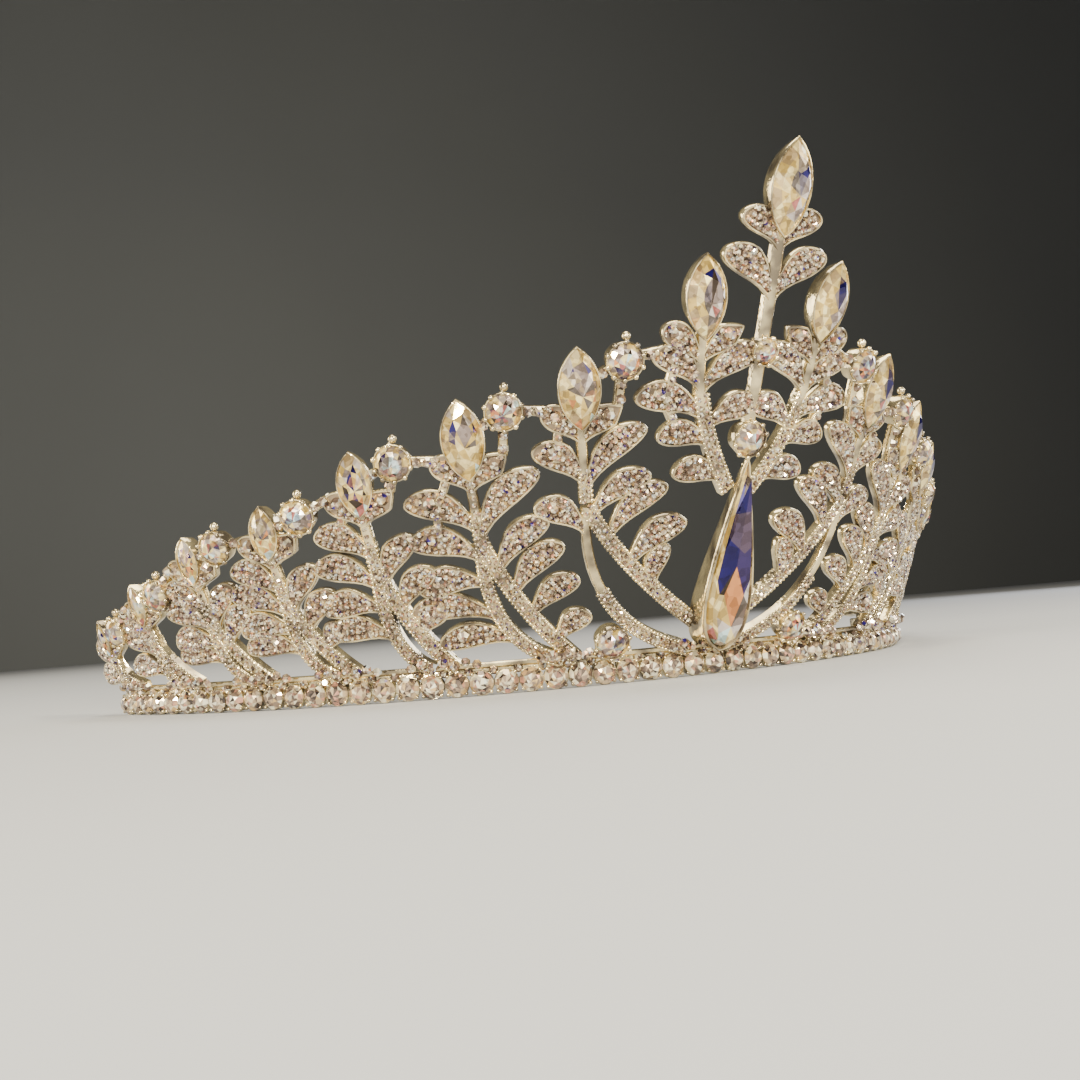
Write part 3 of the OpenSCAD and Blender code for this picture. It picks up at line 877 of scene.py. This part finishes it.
def pear_colours(zone, x, y):
    """Painted reflections: navy up to the tip, cream down the left, a warm heart and an icy foot.
    """
    u, v = x / PEAR_W, y / PEAR_L + PEAR_ORIGIN
    if zone == "heart":
        return [PEACH]
    if v < 0.14:
        return [CREAM, SILVER, ICE]
    if zone == "rim":
        return [LEMON, CREAM] if u < 0 else GREY + LIGHT
    if v > 0.34:
        return [NAVY] if u < 0.05 else [MAUVE]
    return [LEMON, CREAM, SAND] if u < 0 else [MAUVE] + GREY


# Cut stones. The rows place the middle corners and the table's corners, as shares of the
# girdle's, the shift moves the table sideways, and the table's facets meet at the hubs
EVEN_ROWS = ((0.74, 0.74), (0.5, 0.5))
PEAR_ROWS = ((0.82, 0.95), (0.72, 0.92))
# The crown's height as a share of the width, and the middle row's and the hubs' of the crown's
CROWN_SHARE, MIDDLE_UP, HUB_UP = 0.22, 0.62, 1.01
HUB_X, HUB_Y = 0.05, -0.15
Cut = namedtuple("Cut", "outline width depth rows shift hubs", defaults=(EVEN_ROWS, 0.0, None))


def halfway(a, b):
    return (a[0] + b[0]) / 2, (a[1] + b[1]) / 2


def stone_facets(n, table, hubs):
    """Corners and zone of each facet, for a girdle with n corners."""
    m = n // 2
    back = n + 2 * m
    first_hub = back + 1

    def nearest(i):
        x, y, z = table[i]
        away = [abs(hub[0] - x) * 0.5 + abs(hub[1] - y) for hub in hubs]
        return first_hub + away.index(min(away))

    facets = []
    for i in range(m):
        j = (i + 1) % m
        here, there = nearest(i), nearest(j)
        facets += [
            ([2 * i, 2 * i + 1, n + i], "rim"),
            ([2 * i + 1, (2 * i + 2) % n, n + j, n + i], "rim"),
            ([n + i, n + m + j, n + m + i], "in"),
            ([n + i, n + j, n + m + j], "in"),
            ([n + m + i, n + m + j, here], "table"),
        ]
        if here != there:
            facets.append(([n + m + j, there, here], "table"))
    for i in range(1, len(hubs) - 1):
        facets.append(([first_hub, first_hub + i, first_hub + i + 1], "heart"))
    for i in range(n):
        facets.append(([(i + 1) % n, i, back], "rim"))
    return facets


def cut_stone(shell, place, cut, colours):
    """A stone with a girdle, two rows of facets and a table split at hubs; every facet gets a
    painted reflection colour, and the table's stand for the facets under it.
    """
    outline = cut.outline
    crown = cut.width * CROWN_SHARE
    (middle_x, middle_y), (table_x, table_y) = cut.rows
    middle = []
    table = []
    for i in range(0, len(outline), 2):
        x, y = halfway(outline[i], outline[i + 1])
        middle.append((x * middle_x + cut.shift / 2, y * middle_y, crown * MIDDLE_UP))
        x, y = halfway(outline[i], outline[i - 1])
        table.append((x * table_x + cut.shift, y * table_y, crown))
    reach = max(y for x, y in outline)
    hubs = cut.hubs or [(HUB_X * cut.width + cut.shift, HUB_Y * reach)]
    points = [(x, y, 0) for x, y in outline] + middle + table + [(0, 0, -cut.depth)]
    points += [(x, y, crown * HUB_UP) for x, y in hubs]
    facets = stone_facets(len(outline), table, hubs)
    painted_flash = []
    for corners, zone in facets:
        x = sum(points[i][0] for i in corners) / len(corners)
        y = sum(points[i][1] for i in corners) / len(corners)
        # Each facet's painted reflection, picked by its zone and place
        painted_flash.append(rng.uniform(*rng.choice(colours(zone, x, y))))
    faces = [corners for corners, zone in facets]
    shell.add([place @ Vector(p) for p in points], faces, painted_flash)


# The large stones by name, with {} for the side of those that both sides have. Right and left
# are the painted reflection colours on each side
Stone = namedtuple("Stone", "place cut finish right left")
large_stones = {}
# The girdle's height above the setting's middle, and the depth from there to the stone's back
CUP_FLOOR = 0.6
GIRDLE = SETTING_TOP - 0.2
DEPTH = GIRDLE - (CUP_FLOOR - SETTING_TOP) - 2 * STONE_GAP
LIFT = Matrix.Translation((0, 0, GIRDLE))
# A marquise reaches over the inner edge of its setting, and its table lies off the middle
STONE_OVER, TABLE_SHIFT = 0.66, 0.09
# Round stones: the setting's size over the stone's, the girdle's under it, and the prongs
ROUND_OVER, ROUND_UNDER = 0.5, 0.1
PRONG_OUT, PRONG_D = 0.12, 0.9


def cut_large(stone, way):
    """The stone for the right side where way is 1, and for the left where it is -1."""
    shell = Shell()
    cut = stone.cut._replace(shift=stone.cut.shift * way)
    colours = stone.right if way > 0 else stone.left
    cut_stone(shell, stone.place, cut, lambda zone, x, y: colours(zone, x * way, y))
    return shell if way > 0 else shell.mirrored()


def marquise(metal, name, a, b, width, length, on_left=whole_colours):
    """A marquise stone in its setting, with the foot of the setting at a and its tip at b."""
    p, q = at(a), at(b)
    place = frame_between(p, q, facing(mix(a, b, 0.5)))
    place.translation = (p + q) / 2
    metal.setting(place, lens(width + 2 * WALL, length + 2 * WALL))
    outline = lens(width + STONE_OVER, length + STONE_OVER, 24)
    cut = Cut(outline, width, DEPTH, shift=TABLE_SHIFT * width)
    sides = [marquise_colours(length, pattern) for pattern in (whole_colours, on_left)]
    large_stones[name] = Stone(place @ LIFT, cut, LARGE_CRYSTAL, *sides)


def round_stone(metal, name, middle, scale=1.0, prongs=10):
    """A round stone in its setting, held by beads."""
    place = frame_between(at(middle), at((middle[0], middle[1] + 1)), facing(middle))
    d = ROUND_D * scale
    metal.setting(place, ring(d + ROUND_OVER))
    cut = Cut(ring(d - ROUND_UNDER), d, DEPTH)
    large_stones[name] = Stone(place @ LIFT, cut, ROUND_CRYSTAL, round_colours, round_colours)
    metal.prongs(place, d / 2 + PRONG_OUT, SETTING_TOP, prongs, PRONG_D)


# The right half of the crown, which the left one mirrors
half = Metalwork()
# How many of each plume's outer leaves are tied to the one above, and where on the leaves
TIED = [3, 1, 2, 1, 1, 1, 1, 1]
TIE_AT = 0.62
STRUT_W = 1.5
# Rows of stones on the bare stems, the ties and the links: pitch, height and size
BARE_ROW = (1.15, 0.66, 1.0)
TIE_ROW = (1.3, LEAF_TOP, 1.25)
LINK_ROW = (1.6, 0.8, 1.75)
# The knob above a round stone
KNOB_IN, KNOB_UP, KNOB_D = 0.3, 0.75, 1.5


def stems(k):
    """Plume k's main stem, smooth above and paved below, and the two that it forks into."""
    top = mix(foot(k), tip(k), 0.12)
    if k == 1:
        half.smooth([top] + span(1, MAIN, 0.02, 0.42), 1.7, 2.1)
        half.paved(span(1, MAIN, 0.34, 1), 2.2, 2.8)
        return
    upper = [top] + span(k, MAIN, 0.02, 0.55, 6)
    half.smooth(upper, 1.6, 1.8)
    lower = span(k, MAIN, 0.5, 0.94, 6)
    if k == 2:
        half.paved(lower, 2.0, 2.1)
        half.smooth(span(k, OUTER, 0, 0.42, 6), 1.6, 1.7)
        half.paved(span(k, OUTER, 0.4, 1), 1.8, 2.6)
    else:
        half.stone_row(upper, *BARE_ROW)
        half.paved(lower + span(k, OUTER, 0.02, 1), 2.0, 2.4)
    half.paved(span(k, INNER, 0, 1), 2.3, 2.6)


def tie(a, b):
    """A short strut with a row of stones from one leaf, given by its ends, to another."""
    path = straight_path(mix(*a, TIE_AT), mix(*b, TIE_AT))
    half.smooth(path, STRUT_W, STRUT_W)
    half.stone_row(path, *TIE_ROW)


def links(k):
    """Studded struts from round stone k to the plumes beside it, and a knob above it."""
    place = round_place(k)
    inner = leaf_ends(LEAVES[0], 1)[1] if k == 1 else small_leaf_ends(k, 1)[1]
    outer = mix(foot(k + 1), tip(k + 1), 0.5)
    below = small_leaf_ends(k + 1, -1)[1]
    widen = 1 + flare(*place) / BAND_R
    for end in (inner, outer, below):
        length = math.hypot(end[0] - place[0], end[1] - place[1])
        start = ROUND_D / 2 / widen / length
        path = straight_path(mix(place, end, start), end)
        half.smooth(path, STRUT_W, STRUT_W)
        half.stone_row(path, *LINK_ROW)
    above = (place[0] - KNOB_IN, place[1] + rise(ROUND_D / 2 + KNOB_UP, *place))
    half.bead(at(above), facing(above), KNOB_D)


for k in range(1, PLUME_COUNT + 1):
    share = PLUMES[k - 1].stone
    on_left = broken_colours if k > 1 else whole_colours
    width, length = MARQUISE_W * share, MARQUISE_L * share
    marquise(half, "marquise_{}" + str(k), foot(k), tip(k), width, length, on_left)
    stems(k)
    for way in (-1, 1):
        half.leaf(*small_leaf_ends(k, way), SMALL_WIDE, way < 0, SMALL_BOW, SMALL_GEM)
    for row in leaves_of(k):
        gem = LEAF_GEM if row.out > 0 and k < FIRST_SIDE_PLUME else 0
        half.leaf(*leaf_ends(row, k), row.wide, gem=gem)

for k in range(1, PLUME_COUNT + 1):
    outward = [leaf_ends(row, k) for row in leaves_of(k) if row.out > 0]
    chain = [small_leaf_ends(k, 1)] + outward[:TIED[k - 1]]
    for a, b in zip(chain, chain[1:]):
        tie(a, b)

for share, out, up, wide in CENTRE_LEAVES:
    h = share * PEAK_H
    half.leaf((0, h), (out * LEAF_REACH, h + up * LEAF_REACH), wide)

for k in range(1, PLUME_COUNT):
    round_stone(half, "round_{}" + str(k), round_place(k))
    links(k)
round_stone(half, "band_round_{}", BAND_ROUND)

# The band: a cup to each stone, held by four beads, and a rail above them
CUP_D = 4.2
CUP_BEAD_OUT, CUP_BEAD_UP, CUP_BEAD_D = 0.1, 0.1, 0.7
cups = [arc_frame((i + 0.5) * BAND_PITCH, BAND_R, BAND_STONE_H) for i in range(BAND_COUNT)]
for cup in cups:
    half.cast.rings(cup, stepped(ring(CUP_D, 18), CUP_SECTION))
    half.prongs(cup, BAND_STONE_D / 2 + CUP_BEAD_OUT, BAND_T + CUP_BEAD_UP, 4, CUP_BEAD_D)
rail = []
for i in range(BAND_COUNT * 2 + 1):
    s = i * BAND_PITCH / 2
    rail.append([arc_point(s, BAND_R + out, h) for out, h in RAIL_PROFILE])
half.cast.sweep(rail)

# Small stones fill the dips between the cups, and short rows of them stud the rail at the roots
DIP_OUT, DIP_UP, DIP_STONE = 2.2, 2.0, 1.6
ROOT_SPREAD, ROOT_STONE, ROOT_DOWN, ROOT_ZIGZAG, ROOT_OUT = 3.4, 1.7, 0.1, 0.5, BAND_T - 0.6
for i in range(BAND_COUNT):
    dip = arc_frame(i * BAND_PITCH, BAND_R + DIP_OUT, BAND_STONE_H + DIP_UP)
    half.stone(dip.translation, forward_of(dip), DIP_STONE)
for k in range(2, PLUME_COUNT + 1):
    # The inner stem of plume 2 ends on the pear's setting
    on_the_band = [OUTER] if k == 2 else [OUTER, INNER]
    for stem in on_the_band:
        s = root(k, stem)[0]
        for j in range(-2, 3):
            place = (s + j * ROOT_SPREAD / 2, BAND_H - ROOT_DOWN + ROOT_ZIGZAG * (j % 2))
            half.stone(at(place, ROOT_OUT), facing(place), ROOT_STONE)

# The centre, which is not mirrored
centre = Metalwork()
centre_stem = straight_path((0, PEAK_FOOT[1] + 1), (0, CREST_H), 16)
centre.smooth(centre_stem, 2.1, 2.1)
marquise(centre, "peak_stone", PEAK_FOOT, PEAK_TIP, PEAK_W, PEAK_L)
round_stone(centre, "crest_stone", (0, CREST_H))
round_stone(centre, "bud_stone", (0, BUD_H), BUD_SCALE, 8)

# The pear in front, whose setting narrows towards a back that follows the wall
PEAR_BACK_SHARE, PEAR_BACK_UP = 0.88, 1
PEAR_SEAT, PEAR_DEPTH = 0.3, 1.6
pear_foot, pear_top = (0, BAND_H - PEAR_FOOT_SINK), (0, PEAR_TOP_H)
ahead = Vector((0, -1, 0))
front = frame_between(at(pear_foot, PEAR_FOOT_OUT), at(pear_top, PEAR_TOP_OUT), ahead)
back = frame_between(at(pear_foot, -PEAR_BACK), at(pear_top, -PEAR_BACK), ahead)
rim = [(x, y - WALL) for x, y in pear(PEAR_W + 2 * WALL, PEAR_L + 2 * WALL)]
rear = [(x * PEAR_BACK_SHARE, y * PEAR_BACK_SHARE + PEAR_BACK_UP) for x, y in rim]
layers = [[back @ Vector((x, y, 0)) for x, y in rear]]
for outline, height in stepped(rim, PEAR_SECTION):
    layers.append([front @ Vector((x, y, height)) for x, y in outline])
centre.cast.sweep(layers)
origin = PEAR_L * PEAR_ORIGIN
girdle = [(x, y + STONE_GAP - origin) for x, y in pear(PEAR_W + 0.1, PEAR_L - 2 * STONE_GAP, 2)]
heart = [(x * PEAR_W, (y - PEAR_ORIGIN) * PEAR_L) for x, y in PEAR_HEART]
seat = front @ Matrix.Translation((0, origin, -PEAR_SEAT))
pear_cut = Cut(girdle, PEAR_W, PEAR_DEPTH, PEAR_ROWS, hubs=heart)
large_stones["pear_stone"] = Stone(seat, pear_cut, PEAR_CRYSTAL, pear_colours, pear_colours)


# Geometry Nodes trees that set one shape on each of many spots
def with_mirrored(spots):
    return spots + [(flip(p), flip(v), d) for p, v, d in spots]


def spots_mesh(name, spots):
    """Loose points that carry the direction and the size of what is set on them."""
    mesh = bpy.data.meshes.new(name)
    mesh.from_pydata([p * MM for p, v, d in spots], [], [])
    way = mesh.attributes.new("way", "FLOAT_VECTOR", "POINT")
    way.data.foreach_set("vector", [c for p, v, d in spots for c in v])
    size = mesh.attributes.new("size", "FLOAT", "POINT")
    size.data.foreach_set("value", [d * MM for p, v, d in spots])
    return put_in_scene(name, mesh)


def named_attribute(tree, name, data_type):
    node = tree.nodes.new("GeometryNodeInputNamedAttribute")
    node.data_type = data_type
    node.inputs["Name"].default_value = name
    return node.outputs["Attribute"]


def cone_shape(tree, given):
    """A small cut stone with a flat table."""
    shape = tree.nodes.new("GeometryNodeMeshCone")
    shape.fill_type = "TRIANGLE_FAN"
    shape.inputs["Radius Bottom"].default_value = 0.5
    half_table = calculate(tree, "MULTIPLY", given.outputs["Table share"], 0.5)
    tree.links.new(half_table, shape.inputs["Radius Top"])
    tree.links.new(given.outputs["Height share"], shape.inputs["Depth"])
    tree.links.new(given.outputs["Sides"], shape.inputs["Vertices"])
    return shape.outputs["Mesh"]


def ball_shape(tree, given):
    shape = tree.nodes.new("GeometryNodeMeshUVSphere")
    shape.inputs["Radius"].default_value = 0.5
    shape.inputs["Rings"].default_value = 5
    tree.links.new(given.outputs["Sides"], shape.inputs["Segments"])
    return shape.outputs["Mesh"]


def spots_tree(name, shape, smooth):
    tree = bpy.data.node_groups.new(name, "GeometryNodeTree")
    face = tree.interface
    face.new_socket("Geometry", in_out="INPUT", socket_type="NodeSocketGeometry")
    face.new_socket("Geometry", in_out="OUTPUT", socket_type="NodeSocketGeometry")
    for label, value in (("Table share", 0.58), ("Height share", 0.3), ("Sides", 8), ("Seed", 3)):
        kind = "NodeSocketInt" if isinstance(value, int) else "NodeSocketFloat"
        face.new_socket(label, in_out="INPUT", socket_type=kind).default_value = value
    face.new_socket("Material", in_out="INPUT", socket_type="NodeSocketMaterial")
    new, link = tree.nodes.new, tree.links.new
    given = new("NodeGroupInput")
    align = new("FunctionNodeAlignRotationToVector")
    align.axis = "Z"
    link(named_attribute(tree, "way", "FLOAT_VECTOR"), align.inputs["Vector"])
    on_points = new("GeometryNodeInstanceOnPoints")
    link(given.outputs["Geometry"], on_points.inputs["Points"])
    link(shape(tree, given), on_points.inputs["Instance"])
    link(align.outputs["Rotation"], on_points.inputs["Rotation"])
    link(named_attribute(tree, "size", "FLOAT"), on_points.inputs["Scale"])
    real = new("GeometryNodeRealizeInstances")
    chance = new("FunctionNodeRandomValue")
    chance.data_type = "FLOAT"
    link(given.outputs["Seed"], chance.inputs["Seed"])
    # Each face gets a random level that picks its painted reflection colour
    keep = new("GeometryNodeStoreNamedAttribute")
    keep.data_type = "FLOAT"
    keep.domain = "FACE"
    keep.inputs["Name"].default_value = "painted_flash"
    link(chance.outputs[1], keep.inputs["Value"])
    shade = new("GeometryNodeSetShadeSmooth")
    shade.inputs["Shade Smooth"].default_value = smooth
    paint = new("GeometryNodeSetMaterial")
    link(given.outputs["Material"], paint.inputs["Material"])
    shaped = on_points.outputs["Instances"]
    for node in (real, keep, shade, paint):
        link(shaped, node.inputs["Geometry"])
        shaped = node.outputs["Geometry"]
    link(shaped, new("NodeGroupOutput").inputs["Geometry"])
    return tree


def grow(name, spots, tree, values):
    """A mesh piece with the tree's shape set on every spot."""
    seed = spots_mesh(name + "_spots", spots)
    modifier = seed.modifiers.new(name, "NODES")
    modifier.node_group = tree
    for item in tree.interface.items_tree:
        if item.in_out == "INPUT" and item.name in values:
            modifier[item.identifier] = values[item.name]
    bpy.context.view_layer.update()
    evaluated = seed.evaluated_get(bpy.context.evaluated_depsgraph_get())
    mesh = bpy.data.meshes.new_from_object(evaluated)
    mesh.name = name
    bpy.data.objects.remove(seed)
    return put_in_scene(name, mesh)


stone_tree = spots_tree("cut_stones_on_spots", cone_shape, False)
bead_tree = spots_tree("beads_on_spots", ball_shape, True)

# Pieces
metal = Shell()
for part in (half.cast, half.cast.mirrored(), centre.cast):
    metal.join(part)
frame_piece = metal.make("crown_metal", [METAL, SHADED_BED], cut=40)
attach(frame_piece, "root")
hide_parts("frame")

bead_spots = with_mirrored(half.beads) + centre.beads
beads = grow("metal_beads", bead_spots, bead_tree, {"Material": METAL, "Sides": 8})
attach(beads, "root")
pave_spots = with_mirrored(half.stones) + centre.stones
pave_values = {"Material": PAVE_CRYSTAL, "Sides": 7, "Height share": 0.36}
pave = grow("paved_stones", pave_spots, stone_tree, pave_values)
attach(pave, "root")

SIDES = (("r", 1), ("l", -1))
for name, stone in large_stones.items():
    sides = SIDES if "{}" in name else SIDES[:1]
    for side, way in sides:
        node = name.format(side)
        piece = cut_large(stone, way).make(node + "_cut", [stone.finish])
        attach(piece, "root")
        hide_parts(node)

# The band's stones have a high crown and a shallow back, and lie just above their cups
BAND_CROWN_SCALE, BAND_STONE_DEPTH = 1.2, 0.4
band_lift = Matrix.Translation((0, 0, BAND_T + 0.05))
band_cut = Cut(ring(BAND_STONE_D, 16), BAND_STONE_D * BAND_CROWN_SCALE, BAND_STONE_DEPTH)
for side, way in SIDES:
    band_stones = Shell()
    for cup in cups:
        cut_stone(band_stones, cup @ band_lift, band_cut, band_colours)
    made = band_stones if way == 1 else band_stones.mirrored()
    piece = made.make(f"band_stones_{side}_cut", [PAVE_CRYSTAL])
    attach(piece, "root")
    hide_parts(f"band_stones_{side}")


# Studio: floor and wall in millimetres, as the crown is, and lamps in metres
def stage_material(name, colour):
    material, tree, shader = new_material(name)
    light = tuple(c * 1.03 for c in colour)
    tone = ramp(tree, object_noise(tree, 3), [(0.3, colour), (0.7, light)])
    tree.links.new(tone, shader.inputs["Base Color"])
    shader.inputs["Roughness"].default_value = 0.85
    return material


def stage_sheet(name, corners, material):
    sheet = Shell()
    sheet.add(corners, [[0, 1, 2, 3]])
    return sheet.make(name, [material])


NEAR, FAR, WIDE, HIGH = -1500, 1500, 2500, 2000
corners = [(-WIDE, NEAR, 0), (WIDE, NEAR, 0), (WIDE, FAR, 0), (-WIDE, FAR, 0)]
floor = stage_sheet("studio_floor", corners, stage_material("pale_paper", (0.4, 0.415, 0.455)))
corners = [(-WIDE, FAR, 0), (WIDE, FAR, 0), (WIDE, FAR, HIGH), (-WIDE, FAR, HIGH)]
wall = stage_sheet("studio_wall", corners, stage_material("grey_backdrop", (0.115, 0.123, 0.132)))


LAMP_GLOW = (1, 0.91, 0.7)


def area_light(name, where, size, power, colour=LAMP_GLOW):
    """A square lamp that points at the middle of the crown."""
    data = bpy.data.lights.new(name, "AREA")
    data.size = size
    data.energy = power
    data.color = colour
    light = put_in_scene(name, data)
    light.location = where
    middle = Vector((0, 0, 0.035))
    light.rotation_euler = (middle - Vector(where)).to_track_quat("-Z", "Y").to_euler()


area_light("key", (-0.5, -0.6, 0.55), 0.5, 7.2, (1, 0.9, 0.68))
area_light("fill", (0.75, -0.45, 0.3), 0.48, 4.4)
area_light("top", (0.05, 0.1, 0.9), 0.54, 6.2)
area_light("back_left", (-0.75, 0.55, 0.25), 0.55, 7.8)
area_light("back_right", (0.9, 0.4, 0.4), 0.4, 3.9, (1, 1, 1))
# Small lamps that glint in the facets
SPARK_SIZE, SPARK_POWER = 0.06, 2.2
SPARKS = [
    (-0.3, -0.5, 0.35), (0.3, -0.5, 0.6), (-0.55, -0.25, 0.2),
    (-0.1, -0.6, 0.12), (-0.45, -0.45, 0.05), (0.1, -0.45, 0.3),
]
for i, where in enumerate(SPARKS):
    area_light(f"spark_{i}", where, SPARK_SIZE, SPARK_POWER)

world = bpy.data.worlds.new("studio")
bpy.context.scene.world = world
world.use_nodes = True
background = world.node_tree.nodes["Background"]
background.inputs["Color"].default_value = (1.0, 0.97, 0.92, 1)
background.inputs["Strength"].default_value = 0.1

# Camera, placed by matching the crown's outline to the photograph
AZIMUTH, ELEVATION, ROLL = math.radians(-24.5), math.radians(-3.9), math.radians(4.7)
CAMERA_AT = (-106.0, -261.3 + ARC_Y, 11.8)
SENSOR_MM, FOCAL_PIXELS, IMAGE_PIXELS = 36, 1150, 1080
camera_data = bpy.data.cameras.new("camera")
camera_data.sensor_width = SENSOR_MM
camera_data.lens = SENSOR_MM * FOCAL_PIXELS / IMAGE_PIXELS
camera_data.clip_start = 0.01
camera = put_in_scene("camera", camera_data)
bpy.context.scene.camera = camera
forward = Vector((
    -math.sin(AZIMUTH) * math.cos(ELEVATION),
    math.cos(AZIMUTH) * math.cos(ELEVATION),
    -math.sin(ELEVATION),
))
right = Vector((math.cos(AZIMUTH), math.sin(AZIMUTH), 0))
down = forward.cross(right)
turned_right = right * math.cos(ROLL) + down * math.sin(ROLL)
turned_down = down * math.cos(ROLL) - right * math.sin(ROLL)
axes = Matrix((turned_right, -turned_down, -forward)).transposed().to_4x4()
axes.translation = Vector(CAMERA_AT) * MM
camera.matrix_world = axes
